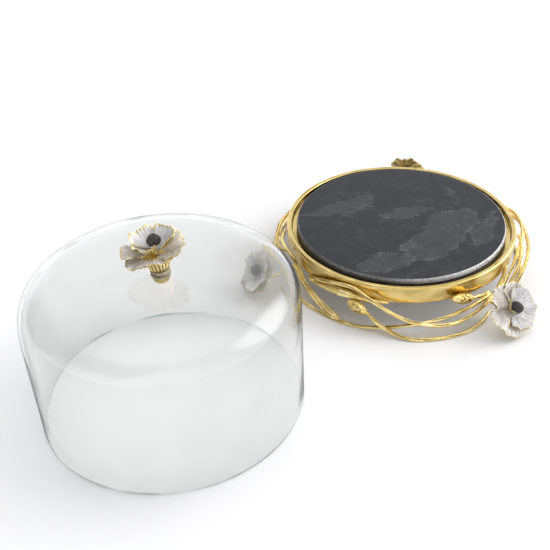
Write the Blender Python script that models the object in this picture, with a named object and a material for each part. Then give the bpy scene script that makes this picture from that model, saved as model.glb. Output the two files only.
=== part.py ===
"""Cheese dome: a gilt stand with a wreath of vines and flowers, a dark stone disc that lies in
the stand's tray, and a clear glass bell with a flower knob that stands on the table beside it.

Metres, +Z up, table at Z = 0.  The stand is at the back right and the bell at the front left.
Every node is one closed solid.  Touching pieces are kept FIT apart.
"""

import math

import bmesh
import bpy
from mathutils import Matrix, Vector

MM = 0.001
FIT = 0.3 * MM

# Layout on the table
STAND_X = 102.7 * MM
STAND_Y = 92.1 * MM
BELL_X = STAND_X - 227.3 * MM
BELL_Y = STAND_Y - 254.0 * MM

# Stone disc
STONE_RADIUS = 125.0 * MM
STONE_BOTTOM = 45.1 * MM
STONE_TOP = 56.0 * MM
STONE_BEVEL = 1.8 * MM
STONE_LOW_BEVEL = 0.8 * MM

# Tray: a shallow pan with an apron below it
TRAY_OUTER_RADIUS = 136.2 * MM
TRAY_INNER_RADIUS = 131.0 * MM
TRAY_RIM_TOP = 52.8 * MM
TRAY_RIM_BULGE = 0.5 * MM
TRAY_RIM_ROUND = 1.4 * MM
TRAY_RIM_BAND = 3.6 * MM
TRAY_RIM_STEP = 1.4 * MM
TRAY_CORNER = 1.5 * MM
TRAY_FLOOR_TOP = STONE_BOTTOM - FIT
TRAY_FLOOR_THICKNESS = 2.8 * MM
APRON_BOTTOM = 34.5 * MM
APRON_THICKNESS = 3.6 * MM
APRON_EDGE_ROUND = 0.5 * MM

# Glass bell
BELL_RADIUS = 129.6 * MM
BELL_WALL = 3.2 * MM
BELL_SHOULDER_START = 84.0 * MM
BELL_HEIGHT = 151.2 * MM
BELL_POWER = 5.0
BELL_RIM_ROUND = 1.0 * MM
BELL_HOLE_RADIUS = 4.0 * MM
BELL_TOP_RADII = (80.0 * MM, 50.0 * MM, 22.0 * MM, BELL_HOLE_RADIUS)
BELL_SHOULDER_STEPS = 7
BELL_SHOULDER_END = math.radians(64.0)

# Knob on top of the bell
GASKET_RADIUS = 10.6 * MM
GASKET_BORE = 3.4 * MM
GASKET_THICKNESS = 2.4 * MM
STUD_RADIUS = 3.0 * MM
COLLAR_HEIGHT = 18.6 * MM
COLLAR_WALL = ((9.2, 0.0), (9.6, 1.6), (8.2, 6.0), (8.0, 10.0), (10.0, 15.0))
COLLAR_TOP_RADIUS = 13.0 * MM
COLLAR_RIBS = 12
COLLAR_RIB_DEPTH = 0.45 * MM
NUT_RADIUS = 8.2 * MM
NUT_HEIGHT = 8.0 * MM
NUT_EDGE = 1.4 * MM
NUT_DOME = ((4.2, 7.2), (6.9, 5.0), (7.9, 2.4))
INNER_WASHER_THICKNESS = 1.6 * MM
KNOB_PETAL_RADIUS = 31.0 * MM

# Flowers: two whorls of petals and a bead
PETAL_THICKNESS = 1.3 * MM
OUTER_PETALS = 6
INNER_PETALS = 4
OUTER_RADIUS = 30.5 * MM
OUTER_CUP = 6.0 * MM
INNER_RADIUS = 20.0 * MM
INNER_CUP = 12.0 * MM
BEAD_RADIUS = 6.6 * MM
OUTER_NOTCH = 0.24
INNER_NOTCH = 0.2
PETAL_RING_SHARES = (0.3, 0.62, 0.85, 1.0)
PETAL_SCOOP = 1.7
PETAL_RIPPLE = 0.08
WHORL_GAP = PETAL_THICKNESS + 0.5 * MM
BEAD_LIFT = 0.7 * MM
BACK_DEPTH = 9.0 * MM
BACK_RADII = (3.0, 4.6, 8.5, 9.0)
BACK_SHARES = (1.0, 0.55, 0.15, 0.0)

# Buds: blunt pods on the vines' ends
BUD_WIDEST = 5.4 * MM
BUD_NARROWEST = 1.6 * MM
BUD_STEPS = 8
BUD_SIDES = 10

# Where each flower sits on the stand: distance from the stand's axis, bearing, height, tilt up
FLOWER_REACH = 175.0 * MM
FLOWER_TILT = math.radians(40.0)
FLOWERS = (
    ("right", -47.0, 24.0 * MM),
    ("back", 87.0, 27.0 * MM),
    ("left", -153.0, 26.0 * MM),
)

# Joint points: the bell swings up and over on an arc whose centre is level with the seated bead
SEAT_HEIGHT = TRAY_FLOOR_TOP + FIT
TRAVEL = math.hypot(STAND_X - BELL_X, STAND_Y - BELL_Y)
ARC_RADIUS = (TRAVEL * TRAVEL + SEAT_HEIGHT * SEAT_HEIGHT) / (2.0 * TRAVEL)

# Vines
VINE_RADIUS = 1.75 * MM
VINE_SIDES = 6
VINE_STEP = 8.0 * MM
VINE_END_SHARE = 0.55
VINE_TAPER_RATE = 5.0
APRON_VINE_RADIUS = 4.0 * MM

# Mesh fineness
SEGMENTS = 48
STEPS_PER_PETAL = 6
BEAD_SEGMENTS = 16
BEAD_RINGS = 8
RING_SEGMENTS = 24
SMALL_SEGMENTS = 16
SHARP_ANGLE = math.radians(32.0)


# ---------------------------------------------------------------- scene and materials

def clear_scene():
    """Remove every object the file starts with."""
    for old in list(bpy.data.objects):
        bpy.data.objects.remove(old, do_unlink=True)


def make_material(name, colour, roughness, metallic, alpha=1.0):
    """A Principled material with plain values."""
    material = bpy.data.materials.new(name)
    material.use_nodes = True
    shader = material.node_tree.nodes["Principled BSDF"]
    shader.inputs["Base Color"].default_value = (*colour, 1.0)
    shader.inputs["Roughness"].default_value = roughness
    shader.inputs["Metallic"].default_value = metallic
    shader.inputs["Alpha"].default_value = alpha
    return material


def gilt():
    """Warm polished gold plating."""
    return make_material("gilt", (0.86, 0.62, 0.26), 0.28, 1.0)


def stone():
    """Dark grey veined stone."""
    return make_material("stone", (0.07, 0.075, 0.085), 0.35, 0.0)


def clear_glass():
    """Clear glass."""
    return make_material("glass", (0.93, 0.97, 0.95), 0.03, 0.0, 0.35)


def white_enamel():
    """Satin white enamel of the petals."""
    return make_material("enamel", (0.86, 0.85, 0.85), 0.4, 0.0)


def dark_bead():
    """Near-black stippled bead."""
    return make_material("bead", (0.045, 0.04, 0.04), 0.45, 0.0)


def clear_plastic():
    """Soft grey gasket."""
    return make_material("gasket", (0.6, 0.62, 0.62), 0.4, 0.0)


# ---------------------------------------------------------------- mesh helpers

def add_object(name, points, faces, material, origin):
    """One object from world points, its origin at the point given."""
    mesh = bpy.data.meshes.new(name)
    mesh.from_pydata([tuple(Vector(p) - origin) for p in points], [], faces)
    work = bmesh.new()
    work.from_mesh(mesh)
    bmesh.ops.recalc_face_normals(work, faces=work.faces)
    work.to_mesh(mesh)
    work.free()
    mesh.shade_smooth()
    mesh.set_sharp_from_angle(angle=SHARP_ANGLE)
    mesh.materials.append(material)
    item = bpy.data.objects.new(name, mesh)
    item.location = origin
    bpy.context.scene.collection.objects.link(item)
    return item


def lathe(profile, segments, frame, ribs=0, rib_depth=0.0):
    """Turn a closed outline of (radius, height) about the frame's own Z.

    A radius of zero makes one point on the axis.  Ribs push the wall in and out round the turn.
    """
    points = []
    rows = []
    for radius, height in profile:
        if radius <= 0.0:
            rows.append([len(points)])
            points.append(frame @ Vector((0.0, 0.0, height)))
            continue
        row = []
        for step in range(segments):
            angle = 2.0 * math.pi * step / segments
            reach = radius + rib_depth * math.cos(ribs * angle)
            row.append(len(points))
            points.append(frame @ Vector((reach * math.cos(angle), reach * math.sin(angle), height)))
        rows.append(row)
    faces = []
    for index, row in enumerate(rows):
        other = rows[(index + 1) % len(rows)]
        if len(row) == 1 and len(other) == 1:
            continue
        for step in range(segments):
            ahead = (step + 1) % segments
            if len(row) == 1:
                faces.append((row[0], other[step], other[ahead]))
            elif len(other) == 1:
                faces.append((row[step], other[0], row[ahead]))
            else:
                faces.append((row[step], other[step], other[ahead], row[ahead]))
    return points, faces


def catmull(points, step):
    """Points along a smooth curve through the control points, about one step apart."""
    ends = [2.0 * points[0] - points[1]] + points + [2.0 * points[-1] - points[-2]]
    path = []
    for index in range(1, len(ends) - 2):
        a, b, c, d = ends[index - 1:index + 3]
        count = max(1, round((c - b).length / step))
        for part in range(count):
            t = part / count
            path.append(0.5 * (2.0 * b + (c - a) * t + (2.0 * a - 5.0 * b + 4.0 * c - d) * t ** 2
                               + (3.0 * b - a - 3.0 * c + d) * t ** 3))
    path.append(points[-1].copy())
    return path


def tube(path, radii, sides):
    """A closed round bar along a path, with one radius for each of its points."""
    points = []
    faces = []
    side = None
    for index, centre in enumerate(path):
        before = path[max(index - 1, 0)]
        after = path[min(index + 1, len(path) - 1)]
        along = (after - before).normalized()
        if side is None:
            side = along.cross(Vector((0.0, 0.0, 1.0)))
            if side.length < 0.1:
                side = along.cross(Vector((1.0, 0.0, 0.0)))
        side = (side - along * side.dot(along)).normalized()
        up = along.cross(side)
        for step in range(sides):
            angle = 2.0 * math.pi * step / sides
            points.append(centre + radii[index] * (math.cos(angle) * side + math.sin(angle) * up))
    for index in range(len(path) - 1):
        base = index * sides
        for step in range(sides):
            ahead = (step + 1) % sides
            faces.append((base + step, base + ahead, base + sides + ahead, base + sides + step))
    faces.append(tuple(range(sides)))
    last = (len(path) - 1) * sides
    faces.append(tuple(range(last, last + sides)))
    return points, faces


def ball(centre, radius):
    """A closed sphere."""
    outline = [(0.0, -radius)]
    for ring in range(1, BEAD_RINGS):
        angle = math.pi * ring / BEAD_RINGS - math.pi / 2.0
        outline.append((radius * math.cos(angle), radius * math.sin(angle)))
    outline.append((0.0, radius))
    return lathe(outline, BEAD_SEGMENTS, Matrix.Translation(centre))


def whorl(frame, petals, reach, cup, notch, base):
    """One ring of petals joined at the middle, a thin cupped plate with a lobed edge."""
    segments = petals * STEPS_PER_PETAL
    layers = []
    points = []
    for sink in (0.0, -PETAL_THICKNESS):
        rows = [[len(points)]]
        points.append(frame @ Vector((0.0, 0.0, base + sink)))
        for share in PETAL_RING_SHARES:
            row = []
            for step in range(segments):
                angle = 2.0 * math.pi * step / segments
                across = abs(2.0 * ((step / STEPS_PER_PETAL) % 1.0) - 1.0)
                radius = reach * share * (1.0 - notch * share * across ** 2.5)
                wave = math.cos(4.0 * math.pi * step / STEPS_PER_PETAL)
                height = base + sink + cup * (radius / reach) ** PETAL_SCOOP
                height += PETAL_RIPPLE * cup * share * wave
                row.append(len(points))
                points.append(frame @ Vector((radius * math.cos(angle), radius * math.sin(angle), height)))
            rows.append(row)
        layers.append(rows)
    faces = []
    for rows in layers:
        for step in range(segments):
            ahead = (step + 1) % segments
            faces.append((rows[0][0], rows[1][step], rows[1][ahead]))
            for inner, outer in zip(rows[1:], rows[2:]):
                faces.append((inner[step], outer[step], outer[ahead], inner[ahead]))
    top_edge = layers[0][-1]
    low_edge = layers[1][-1]
    for step in range(segments):
        ahead = (step + 1) % segments
        faces.append((top_edge[step], low_edge[step], low_edge[ahead], top_edge[ahead]))
    return points, faces


# ---------------------------------------------------------------- places

def polar(reach, bearing, height):
    """A point by its distance in mm, bearing in degrees and height in mm from the stand's axis."""
    angle = math.radians(bearing)
    return Vector((STAND_X + reach * MM * math.cos(angle), STAND_Y + reach * MM * math.sin(angle),
                   height * MM))


def stand_origin():
    """The foot of the stand's axis."""
    return Vector((STAND_X, STAND_Y, 0.0))


def bell_frame(height):
    """A frame on the bell's axis."""
    return Matrix.Translation((BELL_X, BELL_Y, height))


def knob_levels():
    """Heights of the stacked knob pieces on the bell."""
    gasket = BELL_HEIGHT + FIT
    collar = gasket + GASKET_THICKNESS + FIT
    outer = collar + COLLAR_HEIGHT + FIT + PETAL_THICKNESS
    inner = outer + WHORL_GAP
    bead = inner + BEAD_LIFT + BEAD_RADIUS
    return gasket, collar, outer, inner, bead


def bead_point():
    """The centre of the knob's bead."""
    return Vector((BELL_X, BELL_Y, knob_levels()[4]))


def arc_centre():
    """The centre of the arc the bell is carried on, level with the bead of the seated bell."""
    along = (stand_origin() - Vector((BELL_X, BELL_Y, 0.0))).normalized()
    seated = stand_origin() + Vector((0.0, 0.0, bead_point().z + SEAT_HEIGHT))
    return seated - along * ARC_RADIUS


def flower_frame(bearing, height):
    """A frame at a stand flower, its Z pointing out of the open flower."""
    angle = math.radians(bearing)
    outward = Vector((math.cos(angle), math.sin(angle), 0.0))
    facing = outward * math.cos(FLOWER_TILT) + Vector((0.0, 0.0, math.sin(FLOWER_TILT)))
    place = stand_origin() + outward * FLOWER_REACH + Vector((0.0, 0.0, height))
    turn = facing.to_track_quat("Z", "Y").to_matrix().to_4x4()
    return Matrix.Translation(place) @ turn


# ---------------------------------------------------------------- stand

def build_tray(metal):
    """The gilt pan, its rounded rim and the apron under it, in one turned piece."""
    under = TRAY_FLOOR_TOP - TRAY_FLOOR_THICKNESS
    apron_inner = TRAY_OUTER_RADIUS - APRON_THICKNESS
    outer = TRAY_OUTER_RADIUS + TRAY_RIM_BULGE
    outline = [
        (0.0, under),
        (apron_inner - TRAY_CORNER, under),
        (apron_inner, under - TRAY_CORNER),
        (apron_inner, APRON_BOTTOM),
        (TRAY_OUTER_RADIUS - APRON_EDGE_ROUND, APRON_BOTTOM),
        (TRAY_OUTER_RADIUS, APRON_BOTTOM + APRON_EDGE_ROUND),
        (TRAY_OUTER_RADIUS, TRAY_RIM_TOP - TRAY_RIM_BAND - TRAY_RIM_STEP),
        (outer, TRAY_RIM_TOP - TRAY_RIM_BAND),
        (outer, TRAY_RIM_TOP - TRAY_RIM_ROUND),
        (outer - TRAY_RIM_ROUND, TRAY_RIM_TOP),
        (TRAY_INNER_RADIUS + TRAY_RIM_ROUND, TRAY_RIM_TOP),
        (TRAY_INNER_RADIUS, TRAY_RIM_TOP - TRAY_RIM_ROUND),
        (TRAY_INNER_RADIUS, TRAY_FLOOR_TOP),
        (0.0, TRAY_FLOOR_TOP),
    ]
    points, faces = lathe(outline, SEGMENTS, Matrix.Translation(stand_origin()))
    add_object("tray", points, faces, metal, stand_origin())


def build_stone(rock):
    """The loose stone disc with its bevelled edge."""
    outline = [
        (0.0, STONE_BOTTOM),
        (STONE_RADIUS - STONE_LOW_BEVEL, STONE_BOTTOM),
        (STONE_RADIUS, STONE_BOTTOM + STONE_LOW_BEVEL),
        (STONE_RADIUS, STONE_TOP - STONE_BEVEL),
        (STONE_RADIUS - STONE_BEVEL, STONE_TOP),
        (0.0, STONE_TOP),
    ]
    points, faces = lathe(outline, SEGMENTS, Matrix.Translation(stand_origin()))
    add_object("stone_disc", points, faces, rock, stand_origin() + Vector((0.0, 0.0, STONE_TOP)))


def turned(course, bearing):
    """The same course of a vine, moved round the stand."""
    return [(reach, angle + bearing, height) for reach, angle, height in course]


def build_vine(name, course, metal, thickest=VINE_RADIUS):
    """One vine bar through its (reach mm, bearing deg, height mm) points, thinner at its ends."""
    path = catmull([polar(*point) for point in course], VINE_STEP)
    last = len(path) - 1
    radii = []
    for index in range(len(path)):
        share = index / last
        taper = min(1.0, VINE_END_SHARE + VINE_TAPER_RATE * min(share, 1.0 - share))
        swell = (thickest - VINE_RADIUS) * math.sin(math.pi * share)
        radii.append((VINE_RADIUS + swell) * taper)
    points, faces = tube(path, radii, VINE_SIDES)
    add_object(name, points, faces, metal, stand_origin())


# Courses of the vines: reach from the stand's axis in mm, bearing in degrees, height in mm
FOOT_LOOP = (
    (149, -149, 7), (148, -143, 2.3), (148, -136, 1.75), (148, -126, 1.75), (148, -116, 1.75),
    (148, -107, 2.6), (148, -98, 6.5), (148.5, -90, 11), (149.3, -82, 15), (148.5, -73, 18),
    (148, -64, 22), (147.5, -54, 26.5), (147, -47, 28),
)
LOW_LOOP = (
    (150, -103.5, 22.5), (151, -99.5, 13.5), (153.5, -95.5, 8.5), (157.5, -90, 3.6),
    (160.5, -84, 1.75), (161.5, -76, 1.75), (161, -68, 1.75), (159, -61, 2.0), (155, -54, 4.5),
    (150.5, -48.5, 8),
)
CROSSING_VINE = (
    (139.8, -139, 32), (139.8, -130, 39), (139.8, -120, 45.3), (140, -112, 46.3),
    (144.3, -104, 39.5), (146, -99, 33), (149, -92, 25), (153.2, -84, 18.6), (155.5, -75, 15),
    (155, -67, 14), (152, -59, 16.5), (147.5, -50, 19.5), (143.5, -43, 22.5), (140.5, -36, 29),
    (140, -31, 42),
)
LEFT_TWIG = (
    (139.5, -173, 47), (144.5, -166, 46), (144.5, -160, 44.5), (141.5, -152, 41),
    (139.8, -146, 33.5), (140.5, -140, 22), (142, -131, 13.8), (144.6, -123.5, 9), (145.4, -119, 6.6),
)
LEFT_TWIG_TWO = (
    (144.2, -151, 35), (143.8, -145, 27), (144.4, -139, 17), (146, -132, 10.2), (146.3, -129, 8.4),
)
LEFT_HOOK = (
    (140, 168, 45), (145.5, 178, 43), (149, -174, 40), (150, -168, 38), (147, -163, 36.5),
    (140.2, -159.5, 37),
)
APRON_VINE = (
    (139.6, -136, 29.5), (141.2, -128, 34.5), (142.2, -118, 36.6), (141.2, -110, 36),
    (139.3, -103, 34.2), (138.9, -96, 33.4),
)
BUD_TWIG = ((143.5, -55.5, 31), (143.2, -51, 29), (142.2, -46, 28.5))
RIGHT_INNER = (
    (141.5, -40, 13), (140, -33, 19), (140.5, -24, 29), (142, -15, 39.5), (144.5, -5, 45.5),
    (146, 5, 46.5), (145, 14, 47), (139.8, 23, 46),
)
RIGHT_OUTER = (
    (151, -37, 11), (151, -31, 17), (153.5, -22, 33), (152.5, -13, 41), (150, -3, 42.5),
    (149, 7, 41.5), (145.5, 16, 39.5), (139.6, 25, 38.5),
)
RIGHT_RISER = (
    (146, -38, 13.5), (146.5, -31, 22), (147.2, -24, 34), (146, -17, 44), (142.5, -11, 48.3),
    (139.2, -7, 49.4),
)


def build_vines(metal):
    """The wreath of vines: loops that stand on the table, and twigs that tie them to the apron."""
    build_vine("vine_foot_loop_front", FOOT_LOOP, metal)
    build_vine("vine_foot_loop_right", turned(FOOT_LOOP, 130.0), metal)
    build_vine("vine_foot_loop_back", turned(FOOT_LOOP, 228.0), metal)
    build_vine("vine_low_loop_front", LOW_LOOP, metal)
    build_vine("vine_low_loop_right", turned(LOW_LOOP, 134.0), metal)
    build_vine("vine_low_loop_back", turned(LOW_LOOP, 230.0), metal)
    build_vine("vine_crossing_front", CROSSING_VINE, metal)
    build_vine("vine_crossing_back", turned(CROSSING_VINE[:-2], 228.0), metal)
    build_vine("vine_left_twig", LEFT_TWIG, metal)
    build_vine("vine_left_twig_two", LEFT_TWIG_TWO, metal)
    build_vine("vine_left_hook", LEFT_HOOK, metal)
    build_vine("vine_on_apron", APRON_VINE, metal, APRON_VINE_RADIUS)
    build_vine("vine_bud_twig", BUD_TWIG, metal)
    build_vine("vine_right_inner", RIGHT_INNER, metal)
    build_vine("vine_right_outer", RIGHT_OUTER, metal)
    build_vine("vine_right_riser", RIGHT_RISER, metal)


def build_bud(name, tail, tip, metal):
    """A gilt bud: a blunt pod from the vine's end to its tip."""
    path = []
    radii = []
    for step in range(BUD_STEPS + 1):
        share = step / BUD_STEPS
        path.append(tail.lerp(tip, share))
        radii.append(max(BUD_WIDEST * math.sin(math.pi * share ** 0.8) ** 0.6, BUD_NARROWEST))
    points, faces = tube(path, radii, BUD_SIDES)
    add_object(name, points, faces, metal, stand_origin())


def build_buds(metal):
    """Buds at the ends of the low loops, and one on its own twig beside the right flower."""
    for name, bearing in (("front", 0.0), ("right", 134.0), ("back", 230.0)):
        tail = polar(150.0, -104.2 + bearing, 24.6)
        tip = polar(149.2, -113.0 + bearing, 33.4)
        build_bud("bud_" + name, tail, tip, metal)
    build_bud("bud_on_twig", polar(143.8, -56.6, 31.6), polar(144.0, -67.0, 38.5), metal)


def build_flower(name, frame, metal, enamel, bead_material):
    """A stand flower: gilt back, outer petals, inner petals and a bead."""
    origin = stand_origin()
    back_base = -PETAL_THICKNESS - FIT
    back = [(radius * MM, back_base - share * BACK_DEPTH)
            for radius, share in zip(BACK_RADII, BACK_SHARES)]
    back = [(0.0, back_base - BACK_DEPTH)] + back + [(0.0, back_base)]
    points, faces = lathe(back, SMALL_SEGMENTS, frame)
    add_object("flower_" + name + "_back", points, faces, metal, origin)
    points, faces = whorl(frame, OUTER_PETALS, OUTER_RADIUS, OUTER_CUP, OUTER_NOTCH, 0.0)
    add_object("flower_" + name + "_outer_petals", points, faces, enamel, origin)
    points, faces = whorl(frame, INNER_PETALS, INNER_RADIUS, INNER_CUP, INNER_NOTCH, WHORL_GAP)
    add_object("flower_" + name + "_inner_petals", points, faces, enamel, origin)
    centre = frame @ Vector((0.0, 0.0, WHORL_GAP + BEAD_LIFT + BEAD_RADIUS))
    points, faces = ball(centre, BEAD_RADIUS)
    add_object("flower_" + name + "_bead", points, faces, bead_material, origin)


def build_flower_stem(name, bearing, height, metal):
    """A short stem from the flower's gilt back in to the vines."""
    lift = height / MM
    course = (
        (FLOWER_REACH / MM - 9.2, bearing, lift - 8.0), (160, bearing, lift - 9.6),
        (154, bearing, lift - 8.4), (150, bearing, lift - 5.6),
    )
    build_vine("flower_" + name + "_stem", course, metal)


# ---------------------------------------------------------------- glass bell and knob

def bell_outline(inset):
    """The bell's outer surface from its rim to its hole, moved in by the inset."""
    radius = BELL_RADIUS - inset
    top = BELL_HEIGHT - inset
    rise = top - BELL_SHOULDER_START
    outline = [(radius, BELL_SHOULDER_START * 0.5)]
    for step in range(BELL_SHOULDER_STEPS + 1):
        angle = BELL_SHOULDER_END * step / BELL_SHOULDER_STEPS
        outline.append((radius * math.cos(angle) ** (2.0 / BELL_POWER),
                        BELL_SHOULDER_START + rise * math.sin(angle) ** (2.0 / BELL_POWER)))
    for reach in BELL_TOP_RADII:
        share = (reach / radius) ** BELL_POWER
        outline.append((reach, BELL_SHOULDER_START + rise * (1.0 - share) ** (1.0 / BELL_POWER)))
    return outline


def build_bell(glass):
    """The clear bell: straight wall, round shoulder, nearly flat top with a hole for the stud."""
    outer = bell_outline(0.0)
    inner = bell_outline(BELL_WALL)
    rim = [
        (BELL_RADIUS - BELL_WALL, BELL_RIM_ROUND),
        (BELL_RADIUS - BELL_WALL + BELL_RIM_ROUND, 0.0),
        (BELL_RADIUS - BELL_RIM_ROUND, 0.0),
        (BELL_RADIUS, BELL_RIM_ROUND),
    ]
    outline = rim + outer + inner[::-1]
    points, faces = lathe(outline, SEGMENTS, bell_frame(0.0))
    add_object("glass_bell", points, faces, glass, bead_point())


def ring_outline(bore, radius, low, high):
    """A flat ring's outline."""
    return [(bore, low), (radius, low), (radius, high), (bore, high)]


def build_knob(metal, enamel, bead_material, gasket_material):
    """The knob: gasket, ribbed collar, petals and bead outside; stud, washer and nut inside."""
    gasket, collar, outer, inner, bead = knob_levels()
    pivot = bead_point()
    frame = bell_frame(0.0)
    washer_top = BELL_HEIGHT - BELL_WALL - FIT
    washer_low = washer_top - INNER_WASHER_THICKNESS
    nut_top = washer_low - FIT

    gasket_outline = ring_outline(GASKET_BORE, GASKET_RADIUS, gasket, gasket + GASKET_THICKNESS)
    points, faces = lathe(gasket_outline, RING_SEGMENTS, frame)
    add_object("knob_gasket", points, faces, gasket_material, pivot)

    collar_outline = [(0.0, collar)]
    collar_outline += [(radius * MM, collar + height * MM) for radius, height in COLLAR_WALL]
    collar_outline += [(COLLAR_TOP_RADIUS, collar + COLLAR_HEIGHT), (0.0, collar + COLLAR_HEIGHT)]
    points, faces = lathe(collar_outline, SEGMENTS, frame, COLLAR_RIBS, COLLAR_RIB_DEPTH)
    add_object("knob_collar", points, faces, metal, pivot)

    points, faces = whorl(frame, OUTER_PETALS, KNOB_PETAL_RADIUS, OUTER_CUP, OUTER_NOTCH, outer)
    add_object("knob_outer_petals", points, faces, enamel, pivot)
    points, faces = whorl(frame, INNER_PETALS, INNER_RADIUS, INNER_CUP, INNER_NOTCH, inner)
    add_object("knob_inner_petals", points, faces, enamel, pivot)

    points, faces = ball(Vector((BELL_X, BELL_Y, bead)), BEAD_RADIUS)
    add_object("knob_bead", points, faces, bead_material, arc_centre())

    stud_outline = [
        (0.0, nut_top + FIT),
        (STUD_RADIUS, nut_top + FIT),
        (STUD_RADIUS, collar - FIT),
        (0.0, collar - FIT),
    ]
    points, faces = lathe(stud_outline, SMALL_SEGMENTS, frame)
    add_object("knob_stud", points, faces, metal, pivot)

    washer_outline = ring_outline(GASKET_BORE, GASKET_RADIUS, washer_low, washer_top)
    points, faces = lathe(washer_outline, RING_SEGMENTS, frame)
    add_object("knob_inner_washer", points, faces, gasket_material, pivot)

    nut_outline = [(0.0, nut_top - NUT_HEIGHT)]
    nut_outline += [(radius * MM, nut_top - depth * MM) for radius, depth in NUT_DOME]
    nut_outline += [(NUT_RADIUS, nut_top - NUT_EDGE), (NUT_RADIUS, nut_top), (0.0, nut_top)]
    points, faces = lathe(nut_outline, RING_SEGMENTS, frame)
    add_object("knob_cap_nut", points, faces, metal, pivot)


def build():
    """The whole object."""
    clear_scene()
    metal = gilt()
    rock = stone()
    glass = clear_glass()
    enamel = white_enamel()
    bead_material = dark_bead()
    gasket_material = clear_plastic()
    build_tray(metal)
    build_stone(rock)
    build_vines(metal)
    build_buds(metal)
    for name, bearing, height in FLOWERS:
        build_flower(name, flower_frame(bearing, height), metal, enamel, bead_material)
        build_flower_stem(name, bearing, height, metal)
    build_bell(glass)
    build_knob(metal, enamel, bead_material, gasket_material)


build()
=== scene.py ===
"""Cheese dome: the looks.

A gilt stand with a wreath of bark-textured vines, buds and enamelled flowers, a veined stone disc
in its tray, and a clear glass bell with a flower knob that stands on the table beside it.
Every piece here stands where its CAD node stands, in metres.
"""

import random
from math import atan2, cos, exp, pi, radians, sin, sqrt

import bmesh
import bpy
from mathutils import Matrix, Vector, noise


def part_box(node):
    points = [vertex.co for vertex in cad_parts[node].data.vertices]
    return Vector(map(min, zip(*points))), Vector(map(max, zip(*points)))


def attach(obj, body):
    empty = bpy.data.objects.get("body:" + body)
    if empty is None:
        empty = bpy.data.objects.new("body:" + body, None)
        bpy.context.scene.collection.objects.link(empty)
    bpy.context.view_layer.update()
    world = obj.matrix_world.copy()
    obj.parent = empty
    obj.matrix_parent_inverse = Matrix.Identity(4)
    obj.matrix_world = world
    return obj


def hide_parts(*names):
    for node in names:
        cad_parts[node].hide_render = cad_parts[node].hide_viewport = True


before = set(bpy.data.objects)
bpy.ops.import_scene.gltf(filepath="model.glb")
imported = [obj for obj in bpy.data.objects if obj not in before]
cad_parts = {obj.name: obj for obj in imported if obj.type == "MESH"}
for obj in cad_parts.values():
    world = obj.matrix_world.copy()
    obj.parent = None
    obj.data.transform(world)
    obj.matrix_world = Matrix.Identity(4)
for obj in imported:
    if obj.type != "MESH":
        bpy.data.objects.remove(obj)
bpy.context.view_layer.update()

MM = 0.001
SHARP_ANGLE = radians(40)
UP = Vector((0, 0, 1))

# Camera
CAMERA_PLACE = (0.0607, -0.7561, 0.5837)
CAMERA_DOWN = radians(35.91)
CAMERA_TURN = radians(4.16)
CAMERA_ROLL = radians(-0.48)
CAMERA_LENS = 54.1
CAMERA_SENSOR = 36
CAMERA_SHIFT = -0.073

# Fineness of the meshes
ROUND_SEGMENTS = 192
TWIG_SIDES = 20
TWIG_STEP = 1.3 * MM
PETAL_ROWS = 20
PETAL_COLUMNS = 40
POD_STEPS = 44
POD_SIDES = 48
SEED_ROWS = 36
SEED_SIDES = 54
PEBBLE_SIDES = 12

# Measures that the CAD doesn't give; the two half angles are in radians
TWIG_SWELL = 1.24
APRON_DROP = 1.5 * MM
EDGE_IN = 2 * MM
EDGE_DOWN = 4.4 * MM
POD_RADIUS = 6.3 * MM
JOIN_REACH = 5.2 * MM
KNOT_SPACING = 42 * MM
KNOT_LENGTH = 2.2 * MM
TWIG_TAPER = 5 * MM
GROOVE_HALF_ANGLE = 0.34
STALK_RADIUS = 1.9 * MM
SEEDS_RADIUS = 7.1 * MM
KNOB_SEEDS_RADIUS = 6.5 * MM
SEEDS_UP = 9.1  # in mm, from a flower's foot to the middle of its seed head
PETAL_THICKNESS = 0.9 * MM
PLAIN_HALF_ANGLE = 0.75
FLOOR_HALF = 12
FLOOR_GAP = 0.2 * MM
WORLD_STRENGTH = 0.98


# ---- places, read from the CAD parts

def middle(node):
    """The centre of a CAD node's box."""
    low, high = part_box(node)
    return (Vector(low) + Vector(high)) / 2


STONE_LOW, STONE_HIGH = (Vector(corner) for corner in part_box("stone_disc"))
TRAY_LOW, TRAY_HIGH = (Vector(corner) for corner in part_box("tray"))
BELL_LOW, BELL_HIGH = (Vector(corner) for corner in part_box("glass_bell"))
STAND = Vector((middle("stone_disc").x, middle("stone_disc").y, 0))
BELL = Vector((middle("glass_bell").x, middle("glass_bell").y, 0))
STONE_RADIUS = (STONE_HIGH.x - STONE_LOW.x) / 2
TRAY_RADIUS = (TRAY_HIGH.x - TRAY_LOW.x) / 2
BELL_RADIUS = (BELL_HIGH.x - BELL_LOW.x) / 2
FLOWERS = {"right": -47, "back": 87, "left": -153}
FLOWER_TILT = radians(40)

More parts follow.
